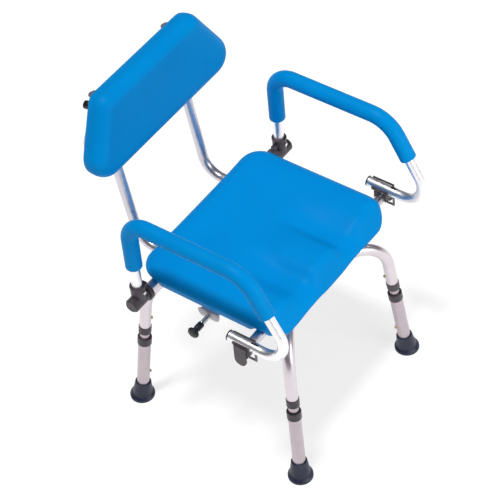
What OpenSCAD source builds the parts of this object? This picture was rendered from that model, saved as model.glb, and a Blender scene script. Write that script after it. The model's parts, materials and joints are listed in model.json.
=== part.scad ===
// Swivel shower chair: height-adjustable aluminium legs, a turning moulded seat,
// two arms that swing up and back, and a padded backrest.
// Millimetres, +Z up, the sitter faces -Y. z = 0 is the floor under the feet.

/* [Legs] */
// Distance from the swivel axis to a foot, along X and along Y
foot_reach = 211; // [190:1:240]
// How far a leg leans in, in X and in Y, per unit of height
leg_splay = 0.0925; // [0.05:0.005:0.12]
// Outer diameter of the upper (base) tubes
base_d = 25.4; // [25:0.1:26]
// Outer diameter of the inner leg tubes
inner_d = 22.2; // [22:0.1:22.4]
// Outer diameter of the lower leg tubes
outer_d = 28; // [27.6:0.1:28.6]
// Wall of the base tubes and the lower leg tubes
wall = 1.5; // [1.2:0.1:1.5]
// Spacing of the height holes
hole_pitch = 12.7; // [12:0.1:14]

/* [Base] */
// Height of the base tubes' level run, at its centre
base_z = 350; // [346:1:351]
// Bend radius of the base tubes
base_bend = 78; // [60:1:85]
// Distance of the level middle run from the swivel axis
run_y = 95; // [90:1:105]

/* [Seat frame] */
// Height of the seat frame tubes, at their centre
frame_z = 399; // [398:1:402]
// Distance of the front cross tube in front of the swivel axis
front_y = 131; // [125:1:135]
// Distance of the rear cross tube, the arm pivot, behind the swivel axis
rear_y = 134; // [130:1:140]
// Distance of a side rail and a back tube from the middle
rail_x = 120; // [110:1:130]

/* [Seat] */
// Width of the seat
seat_w = 424; // [400:1:430]
// How far the seat reaches in front of the swivel axis
seat_front = 180; // [170:1:185]
// How far the seat reaches behind the swivel axis
seat_back = 172; // [165:1:180]
// Height of the seat's lower edge
seat_low = 400; // [399:1:403]
// Height of the seat's top
seat_top = 447; // [440:1:452]

/* [Arms] */
// Distance of an arm from the middle
arm_x = 254; // [250:1:260]
// Outer diameter of the arm tube
arm_d = 22.2; // [22:0.1:22.4]
// Height of the arm's top, at the tube's centre
arm_z = 626; // [600:1:640]
// Outer diameter of the foam grips
grip_d = 35.5; // [32:0.5:38]

/* [Backrest] */
// Lean of the backrest, in degrees
back_lean = 9.5; // [8:0.5:11]
// Half width of the back cushion at its widest
pad_half = 219; // [200:1:225]
// Thickness of the back cushion
pad_t = 50; // [45:1:50]

/* [Hidden] */
$fn = 48;
eps = 0.01;
CORNERS = ["front_left", "front_right", "rear_left", "rear_right"];
CORNER_X = [-1, 1, -1, 1];
CORNER_Y = [-1, -1, 1, 1];
SIDES = ["left", "right"];
SIDE_X = [-1, 1];

// The row's origin is the middle of the chair's box on the floor, so everything moves back by this much.
axis_y = -43.18;

// Legs: distances along a leg from the floor
leg_unit = sqrt(1 + 2 * leg_splay * leg_splay);
leg_tilt = atan(leg_splay * sqrt(2));
tube_low_s = 12;
tube_top_s = 182;
bush_low_s = 170.5;
bush_top_s = 190;
bush_sleeve_s = 158;
collar_low_s = 205.5;
collar_top_s = 224;
base_end_s = 212;
inner_low_s = 62;
inner_top_s = 264;
height_hole_s = 75;
leg_hole_s = 246;
height_steps = 6;
foot_h = 44;
foot_r = 27.5;
foot_rim_h = 5.5;
clip_pin_r = 3.75;
clip_hole_r = 4.05;
clip_out = 3.5;
clip_edge = 1.2;
inner_r = inner_d / 2;
inner_bore_r = 9.9;
running = 0.1;
bend_swell = 0.05;
bend_lap = 0.3;

// Base and swivel
plate_t = 3;
plate_low = base_z + base_d / 2;
plate_top = plate_low + plate_t;
plate_x = 68;
screw_x = 38;
base_screw_r = 3;
base_low = base_z - base_d / 2;
lock_r = 62;
lock_wall = 4;
lock_h = 3.8;
lock_slot_w = 10.4;
post_r = 10;
thrust_r = 42;
rail_d = 25.4;
swivel_t = 4;
swivel_top = frame_z - rail_d / 2;
swivel_low = swivel_top - swivel_t;
plunger_z = plate_top + lock_h + 4;
plunger_r = 3.5;
tab_x = 200;
tab_t = 3;
knob_x = 226;

// Seat
board_low = frame_z + rail_d / 2;
board_t = 7;
board_inset = 25;
seat_corner = 52;
board_screw_y = 80;
board_screw_r = 2.5;

// Arms, in Y and Z from the swivel axis and the floor
socket_top = 440;
socket_r = 15.6;
arm_screw_z = 426;
arm_screw_r = 2.2;
cap_gap = 20.4;
grip_low = 497;
arm_front_top = -150;
arm_front_low = [-265, 419];
arm_end = [-97, 425];
grip_end_z = 541;
grip_gap = 0.3;
latch_y = -front_y;
latch_len = 40;
arm_low_z = arm_front_low[1] + (latch_y - arm_front_low[0]) * (arm_end[1] - arm_front_low[1])
    / (arm_end[0] - arm_front_low[0]);
lever_y = latch_y - 27;
lever_top = 445;

// Backrest: the tube leaves the rail at back_foot_y and leans back above it
back_foot_y = 232.8;
back_tube_top = 782;
pad_plane = 232;
pad_low = 141;
pad_high = 314;
board_plate_t = 6;
knob_s = [175, 254];
back_screw_r = 3;

// ---- helpers ----

function unit(v) = v / norm(v);

// Everything is designed round the swivel axis, then moved to the row's origin
module chair() {
    translate([0, axis_y, 0]) children();
}

module side(i) {
    if (SIDE_X[i] > 0) children();
    else mirror([1, 0, 0]) children();
}

// A round bar from p to q
module rod(p, q, r) {
    d = q - p;
    translate(p)
        rotate([0, acos(d[2] / norm(d)), atan2(d[1], d[0])])
            cylinder(h = norm(d), r = r);
}

// The part of a ring of tube that turns from direction a to direction b, where it touches point p
module elbow(p, a, b, bend_r, r_out, r_in) {
    turn = acos(a * b);
    out = unit(a * cos(turn) - b);
    centre = p - out * bend_r;
    side_dir = cross(out, a);
    multmatrix([
        [out[0], a[0], side_dir[0], centre[0]],
        [out[1], a[1], side_dir[1], centre[1]],
        [out[2], a[2], side_dir[2], centre[2]],
        [0, 0, 0, 1]
    ])
        rotate_extrude(angle = turn)
            translate([bend_r, 0])
                difference() {
                    circle(r = r_out);
                    circle(r = r_in);
                }
}

module straight_tube(p, q, r_out, r_in) {
    d = unit(q - p);
    difference() {
        rod(p, q, r_out);
        rod(p - d, q + d, r_in);
    }
}

function run_dir(pts, i) = unit(pts[i + 1] - pts[i]);
function corner_trim(pts, i, bends) =
    (i == 0 || i == len(pts) - 1) ? 0
    : bends[i] * tan(acos(run_dir(pts, i - 1) * run_dir(pts, i)) / 2);

// A tube along the points, with a bend of radius bends[i] at each inner point. The wall is a touch
// thicker in the bends, and the straights run a little way into it.
module bent_tube(pts, bends, r_out, r_in) {
    last = len(pts) - 1;
    for (i = [0:last - 1]) {
        d = run_dir(pts, i);
        start = pts[i] + d * (corner_trim(pts, i, bends) - (i == 0 ? 0 : bend_lap));
        stop = pts[i + 1] - d * (corner_trim(pts, i + 1, bends) - (i == last - 1 ? 0 : bend_lap));
        straight_tube(start, stop, r_out, r_in);
    }
    for (i = [1:last - 1])
        elbow(pts[i] - run_dir(pts, i - 1) * corner_trim(pts, i, bends),
            run_dir(pts, i - 1), run_dir(pts, i), bends[i], r_out + bend_swell, r_in - bend_swell);
}

// A leg's own frame: Z runs up the leg from the floor, X points in to the middle of the chair
module on_leg(i) {
    translate([CORNER_X[i] * foot_reach, CORNER_Y[i] * foot_reach, 0])
        rotate([0, 0, atan2(-CORNER_Y[i], -CORNER_X[i])])
            rotate([0, leg_tilt, 0])
                children();
}

function leg_point(sx, sy, s) = [
    sx * (foot_reach - leg_splay * s / leg_unit),
    sy * (foot_reach - leg_splay * s / leg_unit),
    s / leg_unit
];

module ring(r_out, r_in, low, high) {
    translate([0, 0, low])
        difference() {
            cylinder(h = high - low, r = r_out);
            translate([0, 0, -1]) cylinder(h = high - low + 2, r = r_in);
        }
}

module rounded_plate(x, y, r, t) {
    linear_extrude(height = t)
        union() {
            square([2 * x, 2 * (y - r)], center = true);
            square([2 * (x - r), 2 * y], center = true);
            for (sx = [-1, 1], sy = [-1, 1]) translate([sx * (x - r), sy * (y - r)]) circle(r = r);
        }
}

// ---- base ----

function base_path(sy) = let (
    knee = foot_reach - leg_splay * base_z,
    run_x = knee - (knee - run_y) / tan(33.3)
) [
    leg_point(-1, sy, base_end_s),
    [-knee, sy * knee, base_z],
    [-run_x, sy * run_y, base_z],
    [run_x, sy * run_y, base_z],
    [knee, sy * knee, base_z],
    leg_point(1, sy, base_end_s)
];

module base_tube(sy) {
    bends = [0, base_bend, base_bend, base_bend, base_bend, 0];
    color("silver")
        chair()
            difference() {
                bent_tube(base_path(sy), bends, base_d / 2, base_d / 2 - wall);
                for (i = [0:3])
                    if (CORNER_Y[i] == sy)
                        on_leg(i)
                            translate([0, 0, leg_hole_s])
                                rotate([0, 90, 0])
                                    cylinder(h = base_d, r = clip_hole_r);
                for (x = [-screw_x, screw_x])
                    translate([x, sy * run_y, base_z - base_d])
                        cylinder(h = 2 * base_d, r = base_screw_r + running);
            }
}

// The plate that ties the two base tubes, with the low lock ring that the seat's plunger catches
module base_plate() {
    color("gainsboro")
        chair()
            difference() {
                union() {
                    translate([0, 0, plate_low]) rounded_plate(plate_x, run_y + 16, 14, plate_t);
                    ring(lock_r, lock_r - lock_wall, plate_top - eps, plate_top + lock_h);
                }
                translate([0, 0, plate_low - 1]) cylinder(h = plate_t + 2, r = post_r + running);
                for (a = [0:90:270])
                    rotate([0, 0, a])
                        translate([lock_r - lock_wall - 1, -lock_slot_w / 2, plate_top])
                            cube([lock_wall + 2, lock_slot_w, lock_h + 1]);
                for (x = [-screw_x, screw_x], y = [-run_y, run_y])
                    translate([x, y, plate_low - 1]) cylinder(h = plate_t + 2, r = base_screw_r + running);
            }
}

// Pan-head screws down through the plate and the tubes, each with its nut underneath
module base_screws() {
    color("lightsteelblue")
        chair()
            for (x = [-screw_x, screw_x], y = [-run_y, run_y])
                translate([x, y, 0]) {
                    translate([0, 0, plate_top]) cylinder(h = 3, r1 = 6, r2 = 4.5);
                    translate([0, 0, base_low - 8]) cylinder(h = plate_top - base_low + 8, r = base_screw_r);
                    translate([0, 0, base_low - 5]) cylinder(h = 5, r = 5.8, $fn = 6);
                }
}

module swivel_post() {
    color("silver")
        chair() {
            translate([0, 0, plate_low - 12]) cylinder(h = swivel_top + 0.4 - plate_low + 12, r = post_r);
            translate([0, 0, swivel_top + 0.3]) cylinder(h = 4, r = 17);
            translate([0, 0, plate_low - 10]) cylinder(h = 10, r = 15, $fn = 6);
        }
}

// Nylon ring that carries the seat's swivel plate
module thrust_ring() {
    color("white")
        chair()
            difference() {
                ring(thrust_r, post_r + running, plate_top, swivel_low - 0.3);
                ring(thrust_r + 1, thrust_r - 6, plate_top + 4, swivel_low - 5);
            }
}

module leg_collars() {
    color("dimgray")
        chair()
            for (i = [0:3])
                on_leg(i) {
                    ring(14.1, inner_r + 0.05, collar_low_s, base_end_s);
                    ring(14.1, base_d / 2, base_end_s, collar_top_s);
                }
}

// ---- legs ----

module inner_tube(i) {
    color("silver")
        chair()
            on_leg(i)
                difference() {
                    ring(inner_r, inner_bore_r, inner_low_s, inner_top_s);
                    for (s = [height_hole_s, leg_hole_s])
                        translate([0, 0, s]) rotate([0, 90, 0]) cylinder(h = base_d, r = clip_hole_r);
                }
}

// A snap clip: the round button and the leaf that carries it inside the inner tube
module snap_clip(i, s, wall_r) {
    color("darkgoldenrod")
        chair()
            on_leg(i)
                translate([0, 0, s]) {
                    translate([8, 0, 0])
                        rotate([0, 90, 0]) cylinder(h = wall_r + clip_out - clip_edge - 8, r = clip_pin_r);
                    translate([wall_r + clip_out - clip_edge, 0, 0])
                        rotate([0, 90, 0])
                            cylinder(h = clip_edge, r1 = clip_pin_r, r2 = clip_pin_r - clip_edge);
                    translate([7.2, -4, -20]) cube([0.9, 8, 25]);
                }
}

module leg_clip(i) {
    snap_clip(i, leg_hole_s, base_d / 2);
}

module height_clip(i) {
    snap_clip(i, height_hole_s, outer_d / 2);
}

module outer_tube(i) {
    color("silver")
        chair()
            on_leg(i)
                difference() {
                    ring(outer_d / 2, outer_d / 2 - wall, tube_low_s, tube_top_s);
                    for (k = [0:height_steps])
                        translate([0, 0, height_hole_s + k * hole_pitch])
                            rotate([0, 90, 0])
                                cylinder(h = outer_d, r = clip_hole_r);
                }
}

// Bush in the top of the lower tube: a sleeve inside it and a cap round its end
module leg_bush(i) {
    color("dimgray")
        chair()
            on_leg(i)
                rotate_extrude()
                    polygon([
                        [inner_r + running, bush_sleeve_s],
                        [outer_d / 2 - wall, bush_sleeve_s],
                        [outer_d / 2 - wall, tube_top_s],
                        [outer_d / 2, tube_top_s],
                        [outer_d / 2, bush_low_s],
                        [outer_d / 2 + 1.7, bush_low_s],
                        [outer_d / 2 + 1.7, bush_top_s - 1],
                        [outer_d / 2 + 0.7, bush_top_s],
                        [inner_r + running, bush_top_s]
                    ]);
}

// Rubber foot: a level sole with a flared rim, and a cup round the end of the tube
module foot(i) {
    color("darkslateblue")
        chair()
            difference() {
                union() {
                    translate([CORNER_X[i] * foot_reach, CORNER_Y[i] * foot_reach, 0]) {
                        cylinder(h = foot_rim_h, r = foot_r);
                        translate([0, 0, foot_rim_h]) cylinder(h = 5, r1 = foot_r - 0.5, r2 = foot_r - 4.5);
                    }
                    on_leg(i)
                        intersection() {
                            cylinder(h = foot_h, r1 = 24, r2 = 17.4);
                            translate([0, 0, 6]) cylinder(h = foot_h, r = 24);
                        }
                }
                on_leg(i) translate([0, 0, tube_low_s]) cylinder(h = foot_h, r = outer_d / 2);
            }
}

// ---- seat frame ----

module front_cross_tube() {
    tip = arm_x + 13;
    color("silver")
        chair()
            difference() {
                rod([-tip, -front_y, frame_z], [tip, -front_y, frame_z], inner_r);
                rod([-tip - 1, -front_y, frame_z], [tip + 1, -front_y, frame_z], inner_bore_r);
            }
}

// The rear cross tube: a middle piece between the rails and a stub outside each, which carries an arm
module rear_cross_tube() {
    tip = arm_x + cap_gap - 0.4;
    color("silver")
        chair()
            difference() {
                rod([-tip, rear_y, frame_z], [tip, rear_y, frame_z], inner_r);
                rod([-tip - 1, rear_y, frame_z], [tip + 1, rear_y, frame_z], inner_bore_r);
                for (x = [-rail_x, rail_x])
                    rod([x, 0, frame_z], [x, rear_y + 40, frame_z], rail_d / 2);
            }
}

module side_rails() {
    color("silver")
        chair()
            for (x = [-rail_x, rail_x])
                difference() {
                    rod([x, -front_y, frame_z], [x, seat_back - 4, frame_z], rail_d / 2);
                    rod([x, -front_y - 1, frame_z], [x, seat_back, frame_z], inner_r + 0.05);
                    rod([x - 20, -front_y, frame_z], [x + 20, -front_y, frame_z], inner_r);
                    translate([x - 20, -front_y - 30, frame_z - 20]) cube([40, 30, 40]);
                    for (y = [-board_screw_y, board_screw_y])
                        translate([x, y, frame_z]) cylinder(h = rail_d, r = board_screw_r + running);
                }
}

module swivel_plate() {
    color("gainsboro")
        chair()
            difference() {
                translate([0, 0, swivel_low]) rounded_plate(rail_x + 14, 70, 12, swivel_t);
                translate([0, 0, swivel_low - 1]) cylinder(h = swivel_t + 2, r = post_r + running);
            }
}

module seat_outline(shrink) {
    x = seat_w / 2 - shrink;
    r = seat_corner - shrink / 2;
    mid = (seat_back - seat_front) / 2;
    y = (seat_back + seat_front) / 2 - shrink;
    translate([0, mid, 0])
        union() {
            square([2 * x, 2 * (y - r)], center = true);
            square([2 * (x - r), 2 * y], center = true);
            for (sx = [-1, 1], sy = [-1, 1]) translate([sx * (x - r), sy * (y - r)]) circle(r = r);
        }
}

module seat_board() {
    color("lightgray")
        chair()
            difference() {
                translate([0, 0, board_low]) linear_extrude(height = board_t) seat_outline(board_inset);
                for (x = [-rail_x, rail_x], y = [-board_screw_y, board_screw_y])
                    translate([x, y, board_low - 1]) cylinder(h = board_t + 2, r = board_screw_r + running);
            }
}

module board_screws() {
    color("lightsteelblue")
        chair()
            for (x = [-rail_x, rail_x], y = [-board_screw_y, board_screw_y])
                translate([x, y, board_low - wall]) cylinder(h = board_t + wall - 0.5, r = board_screw_r);
}

// Moulded foam seat: a solid slab with a skirt that hides the board
module seat_cushion() {
    bead = 14;
    color("dodgerblue")
        chair()
            difference() {
                hull() {
                    translate([0, 0, seat_low]) linear_extrude(height = 1) seat_outline(7);
                    translate([0, 0, seat_low + 8])
                        linear_extrude(height = seat_top - seat_low - 8 - bead) seat_outline(0);
                    translate([0, 0, seat_top - 1]) linear_extrude(height = 1) seat_outline(bead);
                }
                translate([0, 0, seat_low - 1])
                    linear_extrude(height = board_low - seat_low + 1 + eps) seat_outline(board_inset);
                translate([0, 0, board_low]) linear_extrude(height = board_t) seat_outline(board_inset);
                for (y = [-front_y, rear_y])
                    translate([-seat_w, y - 15, seat_low - 1])
                        cube([2 * seat_w, 30, board_low - seat_low + 1]);
                for (x = [-rail_x, rail_x])
                    translate([x - 15, 0, seat_low - 1]) cube([30, seat_back + 10, board_low - seat_low + 1]);
            }
}

// Strap under the left rail that carries the plunger: a tab outside and a guide near the lock ring
module plunger_bracket() {
    strap_low = swivel_low - tab_t;
    color("lightgray")
        chair()
            difference() {
                union() {
                    translate([-tab_x, -22, strap_low]) cube([tab_x - 84, 44, tab_t]);
                    translate([-tab_x, 0, 0])
                        rotate([0, 90, 0])
                            linear_extrude(height = tab_t)
                                union() {
                                    translate([-strap_low - tab_t, -26]) square([6, 52]);
                                    translate([-strap_low, -26]) square([3, 52]);
                                    for (y = [-15, 15]) translate([-strap_low + 3, y]) circle(r = 11);
                                    translate([-strap_low + 3, -15]) square([11, 30]);
                                    translate([-strap_low, -15]) square([3, 30]);
                                }
                    translate([-87, -12, plunger_z - 6]) cube([3, 24, strap_low - plunger_z + 6 + eps]);
                }
                rod([-tab_x - 1, 0, plunger_z], [-70, 0, plunger_z], plunger_r + running);
            }
}

// The coil between the tab and the knob, which pushes the knob out, as its outer shape
module plunger_spring() {
    color("silver")
        chair()
            straight_tube([-knob_x + 0.2, 0, plunger_z], [-tab_x - 0.2, 0, plunger_z],
                plunger_r + 2.4, plunger_r + 0.4);
}

// Push rod with a finger just inside the lock ring: drawn out it catches one of the ring's slots
module plunger_pin() {
    finger_in = lock_r - lock_wall - 6;
    finger_out = lock_r - lock_wall - 0.3;
    color("gray")
        chair() {
            rod([-knob_x - 20, 0, plunger_z], [-finger_in, 0, plunger_z], plunger_r);
            translate([-finger_out, -5, plate_top + 0.4])
                cube([finger_out - finger_in, 10, plunger_z - plate_top - 0.4]);
        }
}

module plunger_knob() {
    color("black")
        chair()
            translate([-knob_x, 0, plunger_z])
                rotate([0, -90, 0])
                    rotate_extrude()
                        polygon([
                            [plunger_r, 0], [7.5, 0], [7.5, 15], [6.5, 17], [7, 20], [12.5, 25], [13, 28],
                            [11, 31], [6, 32.5], [0, 33], [0, 20], [plunger_r, 20]
                        ]);
}

// ---- arms ----

function arm_path() = [
    [arm_x, rear_y, frame_z + 14],
    [arm_x, rear_y, arm_z],
    [arm_x, arm_front_top, arm_z],
    [arm_x, arm_front_low[0], arm_front_low[1]],
    [arm_x, arm_end[0], arm_end[1]]
];

module arm_tube(i) {
    color("silver")
        chair()
            side(i)
                difference() {
                    bent_tube(arm_path(), [0, 48, 70, 50, 0], arm_d / 2, arm_d / 2 - wall);
                    translate([arm_x - 2.2, lever_y - 8, frame_z]) cube([4.4, 16, 60]);
                    rod([arm_x, rear_y - 20, arm_screw_z], [arm_x, rear_y + 5, arm_screw_z],
                        arm_screw_r + running);
                    rod([arm_x - 20, lever_y, arm_low_z - 1], [arm_x + 20, lever_y, arm_low_z - 1], 1.6);
                }
}

function grip_path() = let (
    share = (arm_z - grip_end_z) / (arm_z - arm_front_low[1])
) [
    [arm_x, rear_y, grip_low],
    [arm_x, rear_y, arm_z],
    [arm_x, arm_front_top, arm_z],
    [arm_x, arm_front_top + share * (arm_front_low[0] - arm_front_top), grip_end_z]
];

module arm_grip(i) {
    color("dodgerblue")
        chair()
            side(i)
                bent_tube(grip_path(), [0, 48, 70, 0], grip_d / 2, arm_d / 2 + grip_gap);
}

// Plastic T: a barrel that turns on the rear cross tube, and a socket for the arm tube
module arm_bracket(i) {
    inboard = arm_x - 28;
    outboard = arm_x + 28;
    color("dimgray")
        chair()
            side(i)
                difference() {
                    union() {
                        rod([inboard, rear_y, frame_z], [outboard - 4, rear_y, frame_z], 16);
                        translate([outboard - 4, rear_y, frame_z])
                            rotate([0, 90, 0]) cylinder(h = 4, r1 = 16, r2 = 12.5);
                        rod([inboard, rear_y, frame_z], [inboard + 10, rear_y, frame_z], 19.5);
                        rod([arm_x, rear_y, frame_z], [arm_x, rear_y, socket_top - 3], socket_r);
                        rod([arm_x, rear_y, socket_top - 4], [arm_x, rear_y, socket_top], socket_r + 0.8);
                        translate([inboard + 3, rear_y - 5, frame_z]) cube([24, 10, 30]);
                    }
                    rod([inboard - 1, rear_y, frame_z], [arm_x + cap_gap, rear_y, frame_z],
                        inner_r + running);
                    rod([arm_x, rear_y, frame_z + 14], [arm_x, rear_y, socket_top + 1], arm_d / 2);
                    rod([arm_x, rear_y - 20, arm_screw_z], [arm_x, rear_y, arm_screw_z],
                        arm_screw_r + running);
                }
}

module arm_screw(i) {
    head_y = rear_y - socket_r - 0.05;
    color("white")
        chair()
            side(i) {
                rod([arm_x, head_y - 3, arm_screw_z], [arm_x, head_y, arm_screw_z], 3.8);
                rod([arm_x, head_y - 1, arm_screw_z], [arm_x, rear_y - 5, arm_screw_z], arm_screw_r);
            }
}

module arm_plug(i) {
    tip = [arm_x, arm_end[0], arm_end[1]];
    d = unit([0, arm_end[0] - arm_front_low[0], arm_end[1] - arm_front_low[1]]);
    color("black")
        chair()
            side(i) {
                rod(tip, tip + d * 2.5, arm_d / 2 + 0.4);
                rod(tip - d * 10, tip + d, arm_d / 2 - wall);
            }
}

// Saddle under the arm tube, with a fork that sits over the front cross tube and a cheek past its end
module latch_body(i) {
    low = frame_z - 13;
    color("dimgray")
        chair()
            side(i)
                difference() {
                    union() {
                        rod([arm_x, latch_y - latch_len / 2, arm_low_z - 0.7],
                            [arm_x, latch_y + latch_len / 2, arm_low_z + 0.7], 14);
                        translate([arm_x - 12, latch_y - 15, frame_z - 4]) cube([25, 30, 20]);
                        translate([arm_x + 14, latch_y - 14, low]) cube([4, 28, arm_low_z - low]);
                        translate([arm_x + 14, latch_y, low]) rotate([0, 90, 0]) cylinder(h = 4, r = 14);
                        translate([arm_x + 13 - eps, latch_y - 14, frame_z + 12]) cube([2, 28, 6]);
                    }
                    rod([arm_x, latch_y - latch_len, arm_low_z - 1.4],
                        [arm_x, latch_y + latch_len, arm_low_z + 1.4], arm_d / 2);
                    translate([arm_x - 20, latch_y - latch_len, arm_low_z + 3]) cube([40, 2 * latch_len, 20]);
                    rod([arm_x - 20, latch_y, frame_z], [arm_x + 13.6, latch_y, frame_z], inner_r + 0.3);
                    translate([arm_x - 20, latch_y - inner_r - 0.3, frame_z - 20])
                        cube([33.6, inner_d + 0.6, 20]);
                }
}

// Release lever: a thin bar over the tube, a stem through it and a hook under the front cross tube
module latch_lever(i) {
    color("gray")
        chair()
            side(i)
                translate([arm_x - 1.5, 0, 0]) {
                    translate([0, lever_y - 2, lever_top - 3]) cube([3, 52, 3]);
                    translate([0, lever_y - 2, frame_z - 16]) cube([3, 4, lever_top - frame_z + 16]);
                    translate([0, lever_y - 2, frame_z - 16]) cube([3, 19, 4]);
                    translate([-10, lever_y, arm_low_z - 1])
                        rotate([0, 90, 0])
                            cylinder(h = 23, r = 1.5);
                }
}

// ---- backrest ----

function back_dir() = [0, sin(back_lean), cos(back_lean)];
function back_path(x) = [
    [x, 70, frame_z],
    [x, back_foot_y, frame_z],
    [x, back_foot_y + (back_tube_top - frame_z) * tan(back_lean), back_tube_top]
];

module back_tubes() {
    color("silver")
        chair()
            for (x = [-rail_x, rail_x]) {
                path = back_path(x);
                difference() {
                    bent_tube(path, [0, 50, 0], inner_r, inner_bore_r);
                    for (s = knob_s)
                        back_plane(pad_plane)
                            translate([x, s, 0]) cylinder(h = 40, r = back_screw_r + running);
                }
                rod(path[2] - back_dir() * 3, path[2] + back_dir() * 1.5, inner_r + 0.5);
            }
}

module pad_outline(shrink) {
    half = pad_half - shrink;
    low = pad_low + shrink;
    high = pad_high - shrink;
    hull() {
        for (m = [-1, 1]) {
            translate([m * (half - 45), low + 45]) circle(r = 45, $fn = 32);
            translate([m * (half - 85), high - 32]) circle(r = 32, $fn = 32);
        }
    }
}

module back_board() {
    color("gainsboro")
        chair()
            back_plane(pad_plane)
                difference() {
                    linear_extrude(height = board_plate_t) pad_outline(22);
                    for (x = [-rail_x, rail_x], s = knob_s)
                        translate([x, s, -1]) cylinder(h = board_plate_t + 2, r = back_screw_r + running);
                }
}

// A plane that leans with the back and passes y at height 500: X across, Y up the back, Z backwards
module back_plane(y) {
    translate([0, y, 500])
        rotate([90 - back_lean, 0, 0])
            mirror([0, 0, 1])
                children();
}

module back_cushion() {
    color("dodgerblue")
        chair()
            back_plane(pad_plane)
                mirror([0, 0, 1])
                    hull() {
                        linear_extrude(height = 22) pad_outline(0);
                        translate([0, 0, pad_t - 1]) linear_extrude(height = 1) pad_outline(22);
                    }
}

// Hand knobs behind the tubes, whose screws clamp the board and cushion to them
module back_knobs() {
    color("black")
        chair()
            for (x = [-rail_x, rail_x], s = knob_s)
                back_plane(pad_plane)
                    translate([x, s, 0]) {
                        cylinder(h = 44, r = back_screw_r);
                        translate([0, 0, 30]) cylinder(h = 6, r = 6.5);
                        translate([0, 0, 36]) cylinder(h = 15, r = 9);
                    }
}

// ---- nodes ----

base_tube(-1);  // front_base_tube
base_tube(1);  // rear_base_tube
base_plate();
base_screws();
swivel_post();
thrust_ring();
leg_collars();
for (i = [0:3]) {
    inner_tube(i);
    leg_clip(i);
    outer_tube(i);
    leg_bush(i);
    foot(i);
    height_clip(i);
}
seat_cushion();
seat_board();
front_cross_tube();
rear_cross_tube();
side_rails();
swivel_plate();
board_screws();
plunger_bracket();
plunger_spring();
plunger_pin();
plunger_knob();
for (i = [0:1]) {
    arm_tube(i);
    arm_grip(i);
    arm_bracket(i);
    arm_screw(i);
    arm_plug(i);
    latch_body(i);
    latch_lever(i);
}
back_tubes();
back_board();
back_cushion();
back_knobs();
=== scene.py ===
"""Looks of a swivel shower chair: moulded foam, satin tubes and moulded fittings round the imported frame."""

import json
import logging
import math
from dataclasses import dataclass, field
from enum import Enum

import bpy
from mathutils import Matrix, Vector

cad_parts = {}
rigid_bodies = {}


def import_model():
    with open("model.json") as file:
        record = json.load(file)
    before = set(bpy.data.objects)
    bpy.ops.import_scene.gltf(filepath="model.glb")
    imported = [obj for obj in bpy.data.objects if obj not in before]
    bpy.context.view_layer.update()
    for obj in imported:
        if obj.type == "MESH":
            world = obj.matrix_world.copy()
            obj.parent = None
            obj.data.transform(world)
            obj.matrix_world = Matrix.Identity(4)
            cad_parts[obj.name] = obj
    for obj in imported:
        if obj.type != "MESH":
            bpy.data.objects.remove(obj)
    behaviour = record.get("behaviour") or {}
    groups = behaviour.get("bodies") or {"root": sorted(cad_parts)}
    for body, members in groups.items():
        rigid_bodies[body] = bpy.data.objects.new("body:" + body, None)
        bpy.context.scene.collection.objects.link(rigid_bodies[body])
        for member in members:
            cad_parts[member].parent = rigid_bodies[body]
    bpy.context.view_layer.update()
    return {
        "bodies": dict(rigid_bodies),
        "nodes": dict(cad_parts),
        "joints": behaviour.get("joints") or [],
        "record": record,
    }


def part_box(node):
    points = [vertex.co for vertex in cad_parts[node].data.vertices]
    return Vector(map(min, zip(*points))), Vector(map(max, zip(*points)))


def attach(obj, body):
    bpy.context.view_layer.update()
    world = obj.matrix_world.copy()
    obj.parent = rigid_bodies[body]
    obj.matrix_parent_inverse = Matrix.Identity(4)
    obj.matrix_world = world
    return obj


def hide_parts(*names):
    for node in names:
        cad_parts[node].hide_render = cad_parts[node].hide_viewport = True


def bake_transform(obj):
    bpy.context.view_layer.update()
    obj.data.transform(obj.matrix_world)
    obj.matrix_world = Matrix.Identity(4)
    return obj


logging.basicConfig(level=logging.INFO, format="%(message)s")
LOG = logging.getLogger("shower_chair")

Stops = list[tuple[float, tuple[float, float, float]]]


# ---- finishes ----


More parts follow.
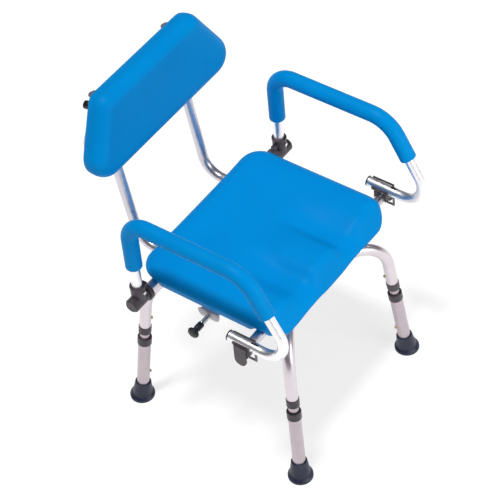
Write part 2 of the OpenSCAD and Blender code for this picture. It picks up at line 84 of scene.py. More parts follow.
class NodeSheet:
    """A new material's node tree, with short ways to add patterns to it."""

    def __init__(self, name: str) -> None:
        """Starts a material with one Principled shader that reads Object coordinates.

        Args:
            name: the material's name.
        """
        self.material = bpy.data.materials.new(name)
        self.material.use_nodes = True
        self.tree = self.material.node_tree
        self.shader = self.tree.nodes["Principled BSDF"]
        self.coords = self.tree.nodes.new("ShaderNodeTexCoord")

    def node(self, kind: str, **settings: object) -> bpy.types.Node:
        """Adds a node of that kind with those settings.

        Args:
            kind: Blender's name for the node's type.
            settings: attributes of the node.

        Returns:
            The new node.
        """
        made = self.tree.nodes.new(kind)
        for key, value in settings.items():
            setattr(made, key, value)
        return made

    def link(self, source: bpy.types.NodeSocket, target: bpy.types.NodeSocket) -> None:
        """Links one socket to another."""
        self.tree.links.new(source, target)

    def noise(self, scale: float, detail: float = 4.0) -> bpy.types.NodeSocket:
        """A noise pattern in the chair's own space.

        Args:
            scale: waves per metre.
            detail: octaves of detail.

        Returns:
            The pattern's value socket.
        """
        made = self.node("ShaderNodeTexNoise")
        made.inputs["Scale"].default_value = scale
        made.inputs["Detail"].default_value = detail
        self.link(self.coords.outputs["Object"], made.inputs["Vector"])
        return made.outputs["Fac"]

    def pebbles(self, scale: float) -> bpy.types.NodeSocket:
        """A moulded grain of small rounded cells.

        Args:
            scale: cells per metre.

        Returns:
            The pattern's value socket.
        """
        made = self.node("ShaderNodeTexVoronoi", feature="SMOOTH_F1")
        made.inputs["Scale"].default_value = scale
        made.inputs["Smoothness"].default_value = 0.6
        self.link(self.coords.outputs["Object"], made.inputs["Vector"])
        return made.outputs["Distance"]

    def ramp(self, source: bpy.types.NodeSocket, stops: Stops) -> bpy.types.NodeSocket:
        """A colour ramp over a pattern.

        Args:
            source: the pattern's value.
            stops: pairs of a position and a linear colour.

        Returns:
            The colour socket.
        """
        made = self.node("ShaderNodeValToRGB")
        elements = made.color_ramp.elements
        while len(elements) < len(stops):
            elements.new(0.5)
        for element, (place, colour) in zip(elements, stops):
            element.position = place
            element.color = (*colour, 1.0)
        self.link(source, made.inputs["Fac"])
        return made.outputs["Color"]

    def spread(self, source: bpy.types.NodeSocket, low: float, high: float) -> bpy.types.NodeSocket:
        """A pattern's middle range spread over low to high.

        Args:
            source: the pattern's value.
            low: the result at 0.3.
            high: the result at 0.7.

        Returns:
            The value socket.
        """
        made = self.node("ShaderNodeMapRange")
        for name, value in (("From Min", 0.3), ("From Max", 0.7), ("To Min", low), ("To Max", high)):
            made.inputs[name].default_value = value
        self.link(source, made.inputs["Value"])
        return made.outputs["Result"]

    def bump(self, height: bpy.types.NodeSocket, strength: float, distance: float) -> None:
        """Adds a bump to the shader's normal, over any bump already there.

        Args:
            height: the height pattern.
            strength: share of the full effect.
            distance: height of the pattern in metres.
        """
        made = self.node("ShaderNodeBump")
        made.inputs["Strength"].default_value = strength
        made.inputs["Distance"].default_value = distance
        self.link(height, made.inputs["Height"])
        normal = self.shader.inputs["Normal"]
        if normal.is_linked:
            self.link(normal.links[0].from_socket, made.inputs["Normal"])
        self.link(made.outputs["Normal"], normal)

    def feed(self, name: str, source: bpy.types.NodeSocket) -> None:
        """Links a pattern to the shader's socket of that name."""
        self.link(source, self.shader.inputs[name])

    def set(self, **values: object) -> None:
        """Sets constants on the shader's own sockets; underscores stand for spaces."""
        for key, value in values.items():
            self.shader.inputs[key.replace("_", " ")].default_value = value


@dataclass(frozen=True)
class Foam:
    """Integral-skin foam: a tight, finely grained skin with a soft sheen."""

    name: str
    deep: tuple[float, float, float]
    face: tuple[float, float, float]
    grain: float = 1500.0
    roughness: float = 0.42

    def build(self) -> bpy.types.Material:
        """Makes the material."""
        sheet = NodeSheet(self.name)
        cloud = sheet.noise(9.0, 3.0)
        sheet.feed("Base Color", sheet.ramp(cloud, [(0.3, self.deep), (0.7, self.face)]))
        dull, sharp = self.roughness + 0.05, self.roughness - 0.04
        sheet.feed("Roughness", sheet.spread(sheet.noise(420.0, 2.0), sharp, dull))
        sheet.bump(sheet.noise(60.0, 2.0), 0.08, 0.0006)
        sheet.bump(sheet.pebbles(self.grain), 0.22, 0.00022)
        sheet.set(Specular_IOR_Level=0.03)
        return sheet.material


@dataclass(frozen=True)
class Metal:
    """Satin or bright metal with fine drawn lines and a slightly uneven polish."""

    name: str
    colour: tuple[float, float, float]
    roughness: float = 0.3
    metallic: float = 1.0
    lines: float = 0.12

    def build(self) -> bpy.types.Material:
        """Makes the material."""
        sheet = NodeSheet(self.name)
        shade = tuple(0.93 * c for c in self.colour)
        sheet.feed("Base Color", sheet.ramp(sheet.noise(35.0, 5.0), [(0.35, shade), (0.65, self.colour)]))
        dull, sharp = self.roughness + 0.06, self.roughness - 0.05
        sheet.feed("Roughness", sheet.spread(sheet.noise(140.0, 4.0), sharp, dull))
        sheet.bump(sheet.noise(2600.0, 2.0), self.lines, 0.00005)
        sheet.set(Metallic=self.metallic)
        return sheet.material


@dataclass(frozen=True)
class Moulding:
    """Moulded plastic or rubber: a fine spark grain, faint flow marks and dull scuffs."""

    name: str
    colour: tuple[float, float, float]
    scuffed: tuple[float, float, float]
    roughness: float = 0.5
    grain: float = 2200.0
    depth: float = 0.0001
    specular: float = 0.4

    def build(self) -> bpy.types.Material:
        """Makes the material."""
        sheet = NodeSheet(self.name)
        marks = sheet.noise(55.0, 6.0)
        sheet.feed("Base Color", sheet.ramp(marks, [(0.42, self.colour), (0.74, self.scuffed)]))
        dull, sharp = self.roughness + 0.09, self.roughness - 0.07
        sheet.feed("Roughness", sheet.spread(sheet.noise(110.0, 5.0), sharp, dull))
        sheet.bump(sheet.pebbles(self.grain), 0.25, self.depth)
        sheet.set(Specular_IOR_Level=self.specular)
        return sheet.material


class Slot(Enum):
    """The record's material slots, each with its finish."""

    # BASE_TUBE, LEG_TUBE and FRAME_TUBE are the same satin tube as ARM_TUBE, given darker colours per part as
    # painted shade.
    BASE_TUBE = Metal("satin_base_tube_painted_shade", (0.72, 0.66, 0.69), 0.34)
    LEG_TUBE = Metal("satin_leg_tube_painted_shade", (0.52, 0.45, 0.485), 0.31)
    FRAME_TUBE = Metal("satin_frame_tube_painted_shade", (0.66, 0.63, 0.68), 0.31)
    ARM_TUBE = Metal("satin_arm_tube", (0.95, 0.93, 0.95), 0.32)
    STEEL_PLATE = Metal("zinc_plate", (0.66, 0.66, 0.69), 0.38, lines=0.3)
    SCREWS = Metal("bright_screws", (0.80, 0.80, 0.83), 0.18)
    NYLON = Moulding("nylon_ring", (0.80, 0.78, 0.72), (0.72, 0.70, 0.64), 0.42)
    DARK_PLASTIC = Moulding("charcoal_fittings", (0.045, 0.034, 0.043), (0.075, 0.061, 0.072), 0.38)
    BLACK_PLASTIC = Moulding(
        "black_fittings", (0.008, 0.008, 0.009), (0.022, 0.022, 0.024), 0.28, specular=0.3)
    CLIPS = Metal("brass_buttons", (0.55, 0.42, 0.24), 0.35)
    FOOT_RUBBER = Moulding(
        "navy_rubber", (0.011, 0.013, 0.036), (0.024, 0.028, 0.054), 0.42, 1400.0, 0.00014)
    BLUE_FOAM = Foam("blue_cushion_foam", (0.0, 0.212, 0.560), (0.0, 0.230, 0.592))
    GRIP_FOAM = Foam("blue_grip_foam", (0.0, 0.222, 0.575), (0.0, 0.240, 0.608), 1900.0, 0.38)
    BOARD = Moulding("pale_board", (0.60, 0.60, 0.62), (0.54, 0.54, 0.56), 0.45)
    BRACKET_PAINT = Moulding("grey_bracket_paint", (0.60, 0.57, 0.60), (0.53, 0.50, 0.53), 0.35)
    SPRING_STEEL = Metal("spring_wire", (0.60, 0.60, 0.62), 0.22)
    LEVER_STEEL = Metal("dark_lever_steel", (0.14, 0.13, 0.14), 0.32)


class Finishes:
    """Builds each slot's material once and gives it to the pieces."""

    def __init__(self) -> None:
        """Builds every slot's material."""
        self.made = {slot: slot.value.build() for slot in Slot}

    def dress(self, piece: bpy.types.Object, slot: Slot) -> None:
        """Gives a piece the slot's material, in place of any it has.

        Args:
            piece: the object to dress.
            slot: the material slot of the record.
        """
        piece.data.materials.clear()
        piece.data.materials.append(self.made[slot])

    def dress_frame(self, frame: dict) -> None:
        """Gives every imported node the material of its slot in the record.
        """
        for entry in frame["record"]["subparts"]:
            self.dress(frame["nodes"][entry["node"]], Slot[entry["material_slot"].upper()])
        LOG.info("dressed %d packed nodes", len(frame["nodes"]))


# ---- working with bpy.ops ----


def deselect_all() -> None:
    """Leaves edit mode and deselects every object."""
    if bpy.context.mode != "OBJECT":
        bpy.ops.object.mode_set(mode="OBJECT")
    bpy.ops.object.select_all(action="DESELECT")


def only(piece: bpy.types.Object) -> None:
    """Makes one object the only selected and active one."""
    deselect_all()
    piece.select_set(True)
    bpy.context.view_layer.objects.active = piece


def apply_modifiers(piece: bpy.types.Object) -> None:
    """Applies the object's modifiers in order."""
    only(piece)
    for modifier in list(piece.modifiers):
        bpy.ops.object.modifier_apply(modifier=modifier.name)


def settle(piece: bpy.types.Object) -> None:
    """Moves the object's place, turn and size into its mesh."""
    only(piece)
    bpy.ops.object.transform_apply(location=True, rotation=True, scale=True)


def outward(piece: bpy.types.Object) -> None:
    """Merges doubles and turns every face outwards."""
    only(piece)
    bpy.ops.object.mode_set(mode="EDIT")
    bpy.ops.mesh.select_all(action="SELECT")
    bpy.ops.mesh.remove_doubles(threshold=1e-6)
    bpy.ops.mesh.normals_make_consistent(inside=False)
    bpy.ops.object.mode_set(mode="OBJECT")


def smoothstep(low: float, high: float, value: float) -> float:
    """0 below low, 1 above high and an even S between them."""
    t = min(1.0, max(0.0, (value - low) / (high - low)))
    return t * t * (3 - 2 * t)


def soft_min(a: float, b: float, blend: float) -> float:
    """The lower of two heights, blended smoothly over a distance.

    Args:
        a: one height.
        b: the other height.
        blend: how far apart they still blend.

    Returns:
        The blended height.
    """
    h = min(1.0, max(0.0, 0.5 + 0.5 * (b - a) / blend))
    return b + (a - b) * h - blend * h * (1 - h)


# ---- padded pieces ----


@dataclass(frozen=True)
class Corner:
    """A rounded corner of an outline: its circle's centre and radius."""

    x: float
    y: float
    radius: float


class Outline:
    """A closed outline round four circles, met by place along each of its four sides."""

    def __init__(self, corners: list[Corner], steps: int = 40) -> None:
        """Measures the outline.

        Args:
            corners: four circles, counter-clockwise from the low left one.
            steps: points along each half corner.
        """
        normals = [self.tangent(corners[i], corners[(i + 1) % 4]) for i in range(4)]
        self.sides: list[list[tuple[float, Vector, Vector]]] = []
        for i in range(4):
            here, there = corners[i], corners[(i + 1) % 4]
            out = normals[i]
            middle = self.between(normals[i - 1], out)
            after = self.between(out, normals[(i + 1) % 4])
            pairs = [(here, middle.slerp(out, k / steps)) for k in range(steps)] + [(here, out)]
            pairs += [(there, out.slerp(after, k / steps)) for k in range(steps + 1)]
            points = [(Vector((c.x, c.y)) + n * c.radius, n) for c, n in pairs]
            along, walked = [], 0.0
            for k, (point, normal) in enumerate(points):
                walked += (point - points[k - 1][0]).length if k else 0.0
                along.append((walked, point, normal))
            self.sides.append([(w / walked, p, n) for w, p, n in along])

    @staticmethod
    def tangent(a: Corner, b: Corner) -> Vector:
        """The outward normal of the line that touches both circles on their right."""
        d = Vector((b.x - a.x, b.y - a.y))
        share = (a.radius - b.radius) / d.length
        d.normalize()
        return d * share + Vector((d.y, -d.x)) * math.sqrt(1 - share * share)

    @staticmethod
    def between(a: Vector, b: Vector) -> Vector:
        """The direction halfway between two directions."""
        return (a + b).normalized()

    def at(self, side: int, share: float) -> tuple[Vector, Vector]:
        """A point of the outline and its outward normal.

        Args:
            side: 0 to 3, from the low left corner counter-clockwise.
            share: 0 to 1 along that side.

        Returns:
            The point and the normal.
        """
        rows = self.sides[side]
        for (w0, p0, n0), (w1, p1, n1) in zip(rows, rows[1:]):
            if share <= w1 or w1 == 1.0:
                t = 0.0 if w1 <= w0 else min(1.0, max(0.0, (share - w0) / (w1 - w0)))
                return p0.lerp(p1, t), n0.lerp(n1, t).normalized()
        return rows[-1][1], rows[-1][2]


class PadMesh:
    """A cube cut into a grid and moulded point by point into a padded form."""

    def __init__(self, name: str, cuts: int) -> None:
        """Adds the cube and cuts it.

        Args:
            name: the piece's name.
            cuts: cells along each edge.
        """
        deselect_all()
        bpy.ops.mesh.primitive_cube_add(size=2)
        self.piece = bpy.context.object
        self.piece.name = name
        self.cuts = cuts
        bpy.ops.object.mode_set(mode="EDIT")
        bpy.ops.mesh.select_all(action="SELECT")
        bpy.ops.mesh.subdivide(number_cuts=cuts - 1)
        bpy.ops.object.mode_set(mode="OBJECT")

    @staticmethod
    def around(u: float, v: float) -> tuple[int, float]:
        """Side and place along it of a direction in the square.

        Args:
            u: across, -1 to 1.
            v: up, -1 to 1; one of the two is 1 or -1.

        Returns:
            The side and the share along it.
        """
        if v <= -1 + 1e-6 and u < 1 - 1e-6:
            return 0, (u + 1) / 2
        if u >= 1 - 1e-6 and v < 1 - 1e-6:
            return 1, (v + 1) / 2
        if v >= 1 - 1e-6 and u > -1 + 1e-6:
            return 2, (1 - u) / 2
        return 3, (1 - v) / 2

    def mould(self, place: "PadPlace") -> None:
        """Moves every point where the form puts it.

        Args:
            place: the form.
        """
        for vertex in self.piece.data.vertices:
            u, v, w = vertex.co
            ring = max(abs(u), abs(v))
            if ring < 1e-6:
                vertex.co = place.point(0, 0.5, 0.0, w)
                continue
            side, share = self.around(u / ring, v / ring)
            vertex.co = place.point(side, share, ring, w)
        self.piece.data.update()


class PadPlace:
    """What a padded form tells the mesh: where each point of the cube goes."""

    def point(self, side: int, share: float, ring: float, level: float) -> Vector:
        """Where a point of the cube goes.

        Args:
            side: side of the outline.
            share: place along the side.
            ring: 0 at the middle to 1 at the rim.
            level: -1 under the pad to 1 on top.

        Returns:
            The point in the row frame.
        """
        raise NotImplementedError


@dataclass
class SeatCushion(PadPlace):
    """The moulded seat: a shallow dish, two thigh troughs, a middle ridge and a sloped front."""

    centre_y: float
    half_width: float = 0.212
    front: float = 0.180
    back: float = 0.172
    low: float = 0.400
    top: float = 0.447
    corner: float = 0.052
    cells: int = 56
    edge_cells: int = 6
    pocket: float = 0.4189
    tube_top: float = 0.4125
    tube_y: tuple[float, float] = (-0.131, 0.134)
    rail_x: float = 0.120
    slope_foot: float = 0.408
    slope_inset: float = 0.004
    crest_blend: float = 0.006
    pocket_steps: tuple[tuple[float, float], ...] = (
        (0.014, 0.0), (0.019, 0.0), (0.0235, 0.001), (0.0240, 0.008), (0.0245, 0.0175), (0.027, 0.0189),
    )
    outline: Outline = field(init=False)

    def __post_init__(self) -> None:
        """Lays out the seat's outline round the swivel axis."""
        x, r = self.half_width - self.corner, self.corner
        low, high = -self.front + r, self.back - r
        self.outline = Outline([
            Corner(-x, low, r), Corner(x, low, r), Corner(x, high, r), Corner(-x, high, r),
        ])

    def height(self, x: float, y: float) -> float:
        """Height of the seat's top at a point, before its rim is rounded.

        Args:
            x: across, from the middle.
            y: from the swivel axis, back positive.

        Returns:
            The height in metres.
        """
        ahead = 1 - smoothstep(-0.105, 0.030, y)
        trough = smoothstep(0.030, 0.062, abs(x)) * (1 - smoothstep(0.086, 0.140, abs(x)))
        ridge = math.exp(-((x / 0.030) ** 2))
        dish = 0.007 * math.exp(-((x / 0.13) ** 2) - (((y - 0.03) / 0.10) ** 2))
        rise = 0.003 * smoothstep(0.10, 0.19, abs(x)) + 0.002 * smoothstep(0.09, 0.16, y)
        z = self.top - 0.004 + rise - dish - ahead * (0.0165 * trough - 0.004 * ridge)
        crest = -0.152 + 0.006 * trough
        fall = (z - self.slope_foot) / (crest + self.front - self.slope_inset)
        return soft_min(z, z + (y - crest) * fall, self.crest_blend)

    def point(self, side: int, share: float, ring: float, level: float) -> Vector:
        """Where a point of the cube goes; see PadPlace."""
        edge, normal = self.outline.at(side, share)
        front = smoothstep(0.3, 0.95, -normal.y)
        roll_in = 0.030 - 0.022 * front
        roll_down = 0.022 - 0.017 * front
        step = round((1 - ring) * self.cells / 2)
        if level > 1 - 1e-6:
            return self.on_top(edge, normal, step, roll_in, roll_down)
        if level < -1 + 1e-6:
            return self.under(edge, normal, step)
        return self.on_wall(edge, normal, level, roll_in, roll_down)

    def on_top(
        self, edge: Vector, normal: Vector, step: int, roll_in: float, roll_down: float
    ) -> Vector:
        """A point of the top: a rolled rim, then rings that shrink to the middle."""
        n = self.edge_cells
        if step <= n:
            angle = math.radians(45 + 45 * step / n)
            inset = edge - normal * roll_in * (1 - math.cos(angle))
            drop = roll_down * (1 - math.sin(angle))
        else:
            rim = edge - normal * roll_in
            inset = rim * (1 - (step - n) / (self.cells / 2 - n))
            drop = 0.0
        rim_z = self.height(inset.x, inset.y) - drop
        return Vector((inset.x, inset.y + self.centre_y, rim_z))

    def on_wall(
        self, edge: Vector, normal: Vector, level: float, roll_in: float, roll_down: float
    ) -> Vector:
        """A point of the side: the rest of the roll, then a wall that draws in to its foot."""
        down = (1 - level) / 2
        if down < 0.25:
            angle = math.radians(45 * (1 - down / 0.25))
            inset = edge - normal * roll_in * (1 - math.cos(angle))
            z = self.height(inset.x, inset.y) - roll_down * (1 - math.sin(angle))
            return Vector((inset.x, inset.y + self.centre_y, z))
        rim_z = self.height(edge.x, edge.y) - roll_down
        t = (down - 0.25) / 0.75
        lip = smoothstep(0.8, 1.0, t)
        draw = 0.007 - 0.003 * smoothstep(0.3, 0.95, -normal.y)
        inset = edge - normal * (draw * t + 0.002 * lip)
        z = rim_z + (self.low + self.notch(inset.x, inset.y) - rim_z) * t
        return Vector((inset.x, inset.y + self.centre_y, z))

    def notch(self, x: float, y: float) -> float:
        """How far the foot of the skirt rises to clear the frame's tubes."""
        over = max((1 - smoothstep(0.013, 0.017, abs(y - t)) for t in self.tube_y), default=0.0)
        if abs(x) < 0.17:
            over = 0.0
        behind = (1 - smoothstep(0.014, 0.018, abs(abs(x) - self.rail_x))) if y > 0.12 else 0.0
        return (self.tube_top - self.low) * max(over, behind)

    def under(self, edge: Vector, normal: Vector, step: int) -> Vector:
        """A point of the underside: a lip, then the pocket that holds the board."""
        count = len(self.pocket_steps)
        if step < count:
            inward, rise = self.pocket_steps[step]
            inset = edge - normal * inward
            foot = self.low + self.notch(inset.x, inset.y)
            z = max(self.low + rise, foot) if rise < 0.017 else self.low + rise
            return Vector((inset.x, inset.y + self.centre_y, z))
        rim = edge - normal * self.pocket_steps[-1][0]
        inset = rim * (1 - (step - count + 1) / (self.cells / 2 - count + 1))
        return Vector((inset.x, inset.y + self.centre_y, self.pocket))

    def build(self) -> bpy.types.Object:
        """Models the cushion.

        Returns:
            The finished piece.
        """
        mesh = PadMesh("seat_pad", self.cells)
        mesh.mould(self)
        piece = mesh.piece
        smooth = piece.modifiers.new("even", "SUBSURF")
        smooth.levels = smooth.render_levels = 1
        apply_modifiers(piece)
        bpy.ops.object.shade_smooth()
        return piece


@dataclass
class BackCushion(PadPlace):
    """The backrest's pad: a thick crowned slab with slanted top corners and a broad rounded rim."""

    centre_y: float
    plane_y: float = 0.232
    plane_z: float = 0.5
    lean: float = math.radians(9.5)
    half_width: float = 0.219
    low: float = 0.141
    high: float = 0.314
    thickness: float = 0.050
    cells: int = 44
    edge_cells: int = 8
    outline: Outline = field(init=False)

    def __post_init__(self) -> None:
        """Lays out the pad's outline in its own plane."""
        w, low, high = self.half_width, self.low, self.high
        self.middle = Vector((0.0, (low + high) / 2))
        self.outline = Outline([
            Corner(-(w - 0.045), low + 0.045, 0.045), Corner(w - 0.045, low + 0.045, 0.045),
            Corner(w - 0.085, high - 0.032, 0.032), Corner(-(w - 0.085), high - 0.032, 0.032),
        ])

    def lifted(self, across: float, up: float, forward: float) -> Vector:
        """A point of the pad's own space in the row frame.

        Args:
            across: along X.
            up: up the back, from the plane's foot.
            forward: towards the sitter.

        Returns:
            The point in the row frame.
        """
        s, c = math.sin(self.lean), math.cos(self.lean)
        y = self.centre_y + self.plane_y + up * s - forward * c
        return Vector((across, y, self.plane_z + up * c + forward * s))

    def point(self, side: int, share: float, ring: float, level: float) -> Vector:
        """Where a point of the cube goes; see PadPlace."""
        edge, normal = self.outline.at(side, share)
        step = round((1 - ring) * self.cells / 2)
        roll_in, roll_deep = 0.027, 0.030
        n = self.edge_cells
        if level > 1 - 1e-6:
            if step <= n:
                angle = math.radians(45 + 45 * step / n)
                inset = edge - normal * roll_in * (1 - math.cos(angle))
                deep = self.thickness - roll_deep * (1 - math.sin(angle))
            else:
                rim = edge - normal * roll_in
                inset = self.middle + (rim - self.middle) * (1 - (step - n) / (self.cells / 2 - n))
                deep = self.thickness
            return self.lifted(inset.x, inset.y, deep - self.hollow(inset))
        if level < -1 + 1e-6:
            if step <= 3:
                inset = edge - normal * (0.003 + 0.003 * step)
                return self.lifted(inset.x, inset.y, 0.0004 if step else 0.001)
            rim = edge - normal * 0.012
            inset = self.middle + (rim - self.middle) * (1 - (step - 3) / (self.cells / 2 - 3))
            return self.lifted(inset.x, inset.y, 0.0004)
        down = (1 - level) / 2
        if down < 0.4:
            angle = math.radians(45 * (1 - down / 0.4))
            inset = edge - normal * roll_in * (1 - math.cos(angle))
            return self.lifted(inset.x, inset.y, self.thickness - roll_deep * (1 - math.sin(angle)))
        t = (down - 0.4) / 0.6
        inset = edge - normal * 0.003 * t * t
        return self.lifted(inset.x, inset.y, (self.thickness - roll_deep) * (1 - t) + 0.001 * t)

    def hollow(self, inset: Vector) -> float:
        """How far the front is dished, which holds the sitter's back."""
        return 0.003 * math.exp(-((inset.x / 0.12) ** 2) - (((inset.y - self.middle.y) / 0.05) ** 2))

    def build(self) -> bpy.types.Object:
        """Models the pad.

        Returns:
            The finished piece.
        """
        mesh = PadMesh("back_pad", self.cells)
        mesh.mould(self)
        piece = mesh.piece
        outward(piece)
        smooth = piece.modifiers.new("even", "SUBSURF")
        smooth.levels = smooth.render_levels = 1
        apply_modifiers(piece)
        bpy.ops.object.shade_smooth()
        return piece


@dataclass
class ArmGrip:
    """A foam sleeve over the top of an arm, drawn along it and rolled over at both ends."""

    centre_y: float
    x: float
    rear_y: float = 0.134
    low_z: float = 0.497
    top_z: float = 0.626
    bend_y: float = -0.150
    end: tuple[float, float] = (-0.19722, 0.541)
    radius: float = 0.01775
    bore: float = 0.0114
    rear_bend: float = 0.048
    front_bend: float = 0.070
    sides: int = 40

    def build(self, name: str) -> bpy.types.Object:
        """Models the sleeve: a ring drawn up, round, forward, round and down.

        Args:
            name: the piece's name.

        Returns:
            The finished piece.
        """
        deselect_all()
        start = Vector((self.x, self.rear_y + self.centre_y, self.low_z))
        bpy.ops.mesh.primitive_circle_add(vertices=self.sides, radius=self.radius, location=start)
        piece = bpy.context.object
        piece.name = name
        settle(piece)
        bpy.ops.object.mode_set(mode="EDIT")
        bpy.ops.mesh.select_all(action="SELECT")
        self.draw(Vector((0, 0, self.top_z - self.rear_bend - self.low_z)), 10)
        quarter = math.pi / 2
        self.turn(Vector((self.x, start.y - self.rear_bend, self.top_z - self.rear_bend)), quarter, 14)
        fall = Vector((0, self.end[0] - self.bend_y, self.end[1] - self.top_z))
        angle = math.acos(-fall.y / fall.length)
        trim = self.front_bend * math.tan(angle / 2)
        self.draw(Vector((0, self.bend_y + trim - (self.rear_y - self.rear_bend), 0)), 20)
        bend = Vector((self.x, self.bend_y + trim + self.centre_y, self.top_z - self.front_bend))
        self.turn(bend, angle, 12)
        self.draw(fall * (1 - trim / fall.length), 6)
        bpy.ops.object.mode_set(mode="OBJECT")
        outward(piece)
        wall = piece.modifiers.new("wall", "SOLIDIFY")
        wall.thickness = self.radius - self.bore
        wall.offset = -1
        rim = piece.modifiers.new("rim", "BEVEL")
        rim.width = 0.0022
        rim.segments = 4
        rim.limit_method = "ANGLE"
        rim.angle_limit = math.radians(50)
        apply_modifiers(piece)
        bpy.ops.object.shade_smooth()
        return piece

    @staticmethod
    def draw(way: Vector, steps: int) -> None:
        """Extrudes the selected ring straight on, in steps."""
        for _ in range(steps):
            bpy.ops.mesh.extrude_region_move(TRANSFORM_OT_translate={"value": way / steps})

    @staticmethod
    def turn(centre: Vector, angle: float, steps: int) -> None:
        """Spins the selected ring forward about a centre."""
        bpy.ops.mesh.spin(steps=steps, angle=-angle, center=centre, axis=(1, 0, 0))


@dataclass
class PlungerSpring:
    """The coil between the tab under the seat and the release knob."""

    low: Vector
    high: Vector
    wire: float = 0.0007
    turns: int = 9

    def build(self) -> bpy.types.Object:
        """Models the coil by screwing a ring of wire along its axis.

        Returns:
            The finished piece.
        """
        deselect_all()
        radius = (self.high.z - self.low.z) / 2 - self.wire
        length = self.high.x - self.low.x - 2 * self.wire
        middle = (self.low + self.high) / 2
        bpy.ops.mesh.primitive_circle_add(vertices=10, radius=self.wire, location=(0, radius, 0))
        piece = bpy.context.object
        piece.name = "plunger_coil"
        settle(piece)
        coil = piece.modifiers.new("coil", "SCREW")
        coil.axis = "X"
        coil.angle = math.tau * self.turns
        coil.screw_offset = length
        coil.iterations = 1
        coil.steps = coil.render_steps = 24 * self.turns
        coil.use_merge_vertices = False
        apply_modifiers(piece)
        only(piece)
        bpy.ops.object.mode_set(mode="EDIT")
        bpy.ops.mesh.select_all(action="DESELECT")
        bpy.ops.mesh.select_non_manifold()
        bpy.ops.mesh.edge_face_add()
        bpy.ops.object.mode_set(mode="OBJECT")
        piece.location = (self.low.x + self.wire, middle.y, middle.z)
        settle(piece)
        outward(piece)
        bpy.ops.object.shade_smooth_by_angle(angle=math.radians(50))
        return piece


# ---- the chair ----


@dataclass
class Chair:
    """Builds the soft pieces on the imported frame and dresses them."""

    frame: dict
    finishes: Finishes

    def build(self) -> None:
        post_low, post_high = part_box("swivel_post")
        axis_y = (post_low.y + post_high.y) / 2
        seat = SeatCushion(axis_y).build()
        self.settle_pad(seat, "seat_cushion", Slot.BLUE_FOAM, "seat")
        back = BackCushion(axis_y).build()
        self.settle_pad(back, "back_cushion", Slot.BLUE_FOAM, "seat")
        for name in ("left", "right"):
            low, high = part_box(f"arm_grip_{name}")
            grip = ArmGrip(axis_y, (low.x + high.x) / 2).build(f"grip_sleeve_{name}")
            self.settle_pad(grip, f"arm_grip_{name}", Slot.GRIP_FOAM, f"arm_{name}")
        self.build_spring()

    def settle_pad(self, piece: bpy.types.Object, node: str, slot: Slot, body: str) -> None:
        """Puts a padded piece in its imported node's place.

        Args:
            piece: the padded piece.
            node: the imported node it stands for.
            slot: its material slot.
            body: the body it rides on.
        """
        self.finishes.dress(piece, slot)
        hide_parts(node)
        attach(piece, body)
        LOG.info("built %s for %s", piece.name, node)

    def build_spring(self) -> None:
        """Builds the plunger's coil where the imported coil stands; nothing makes it stretch with the knob.
        """
        low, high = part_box("plunger_spring")
        coil = PlungerSpring(low, high).build()
        self.finishes.dress(coil, Slot.SPRING_STEEL)
        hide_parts("plunger_spring")
        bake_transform(coil)
        LOG.info("built %s for plunger_spring", coil.name)


# ---- the room ----


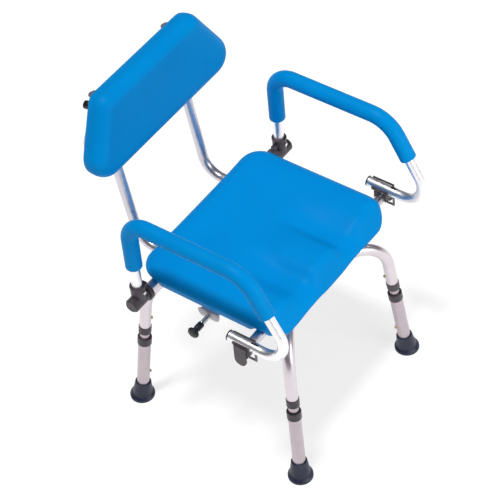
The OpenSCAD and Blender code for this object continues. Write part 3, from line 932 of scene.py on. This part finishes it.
@dataclass
class Studio:
    """A pale floor, soft light and the camera."""

    eye: tuple[float, float, float] = (-2.3322, -1.9160, 3.5387)
    yaw: float = -50.67
    pitch: float = 46.45
    roll: float = -5.78
    lens: float = 150.04

    def build(self) -> None:
        """Builds the floor, the lights and the camera."""
        self.lay_floor()
        self.set_world()
        self.hang_sun("overhead_sun", (-0.20, 0.04, 1.0), 10.0, 2.65)
        self.hang_light("front_fill", (0.1, -3.5, 1.7), (0, 0, 0.5), 2.2, 60.0)
        self.place_camera()

    def lay_floor(self) -> None:
        """Lays a plain pale floor."""
        deselect_all()
        bpy.ops.mesh.primitive_plane_add(size=40, location=(0, 0, -0.0004))
        floor = bpy.context.object
        floor.name = "studio_floor"
        sheet = NodeSheet("pale_floor")
        sheet.set(Base_Color=(0.32, 0.32, 0.32, 1.0), Roughness=0.9, Specular_IOR_Level=0.1)
        sheet.set(Emission_Color=(1.0, 1.0, 1.0, 1.0), Emission_Strength=0.72)
        floor.data.materials.append(sheet.material)

    def set_world(self) -> None:
        """Surrounds the room with an even pale light that is a little dimmer near the horizon."""
        world = bpy.data.worlds.new("studio_air")
        world.use_nodes = True
        bpy.context.scene.world = world
        tree = world.node_tree
        background = tree.nodes["Background"]
        coords = tree.nodes.new("ShaderNodeTexCoord")
        split = tree.nodes.new("ShaderNodeSeparateXYZ")
        ramp = tree.nodes.new("ShaderNodeValToRGB")
        ramp.color_ramp.elements[0].position = 0.0
        ramp.color_ramp.elements[0].color = (0.26, 0.25, 0.27, 1)
        ramp.color_ramp.elements[1].position = 0.8
        ramp.color_ramp.elements[1].color = (1, 1, 1, 1)
        tree.links.new(coords.outputs["Generated"], split.inputs["Vector"])
        tree.links.new(split.outputs["Z"], ramp.inputs["Fac"])
        tree.links.new(ramp.outputs["Color"], background.inputs["Color"])
        background.inputs["Strength"].default_value = 0.26

    @staticmethod
    def hang_sun(name: str, towards: tuple[float, float, float], spread: float, strength: float) -> None:
        """Hangs a soft sun.

        Args:
            name: the light's name.
            towards: the direction from the chair to the light.
            spread: its width in degrees.
            strength: its strength in watts per square metre.
        """
        deselect_all()
        bpy.ops.object.light_add(type="SUN", location=(0, 0, 4))
        lamp = bpy.context.object
        lamp.name = name
        lamp.data.angle = math.radians(spread)
        lamp.data.energy = strength
        lamp.rotation_euler = (-Vector(towards)).to_track_quat("-Z", "Y").to_euler()

    @staticmethod
    def hang_light(
        name: str,
        place: tuple[float, float, float],
        aim: tuple[float, float, float],
        size: float,
        power: float,
    ) -> None:
        """Hangs a square softbox.

        Args:
            name: the light's name.
            place: where it hangs.
            aim: the point it faces.
            size: its side in metres.
            power: its power in watts.
        """
        deselect_all()
        bpy.ops.object.light_add(type="AREA", location=place)
        lamp = bpy.context.object
        lamp.name = name
        lamp.data.shape = "SQUARE"
        lamp.data.size = size
        lamp.data.energy = power
        lamp.rotation_euler = (Vector(aim) - Vector(place)).to_track_quat("-Z", "Y").to_euler()

    def place_camera(self) -> None:
        """Sets the camera at its measured place and turn."""
        a, e, r = (math.radians(x) for x in (self.yaw, self.pitch, self.roll))
        back = Vector((math.sin(a) * math.cos(e), -math.cos(a) * math.cos(e), math.sin(e)))
        right = Vector((math.cos(a), math.sin(a), 0.0))
        up = back.cross(right)
        across = right * math.cos(r) + up * math.sin(r)
        upward = up * math.cos(r) - right * math.sin(r)
        turn = Matrix((across, upward, back)).transposed().to_4x4()
        deselect_all()
        bpy.ops.object.camera_add()
        camera = bpy.context.object
        camera.name = "studio_camera"
        camera.matrix_world = Matrix.Translation(self.eye) @ turn
        camera.data.sensor_width = 36.0
        camera.data.lens = self.lens
        camera.data.clip_end = 100.0
        bpy.context.scene.camera = camera
        bpy.context.scene.view_settings.view_transform = "Standard"


def main() -> None:
    """Builds the chair's looks and the room."""
    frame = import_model()
    finishes = Finishes()
    finishes.dress_frame(frame)
    Chair(frame, finishes).build()
    Studio().build()
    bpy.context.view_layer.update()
    deselect_all()


if __name__ == "__main__":
    main()
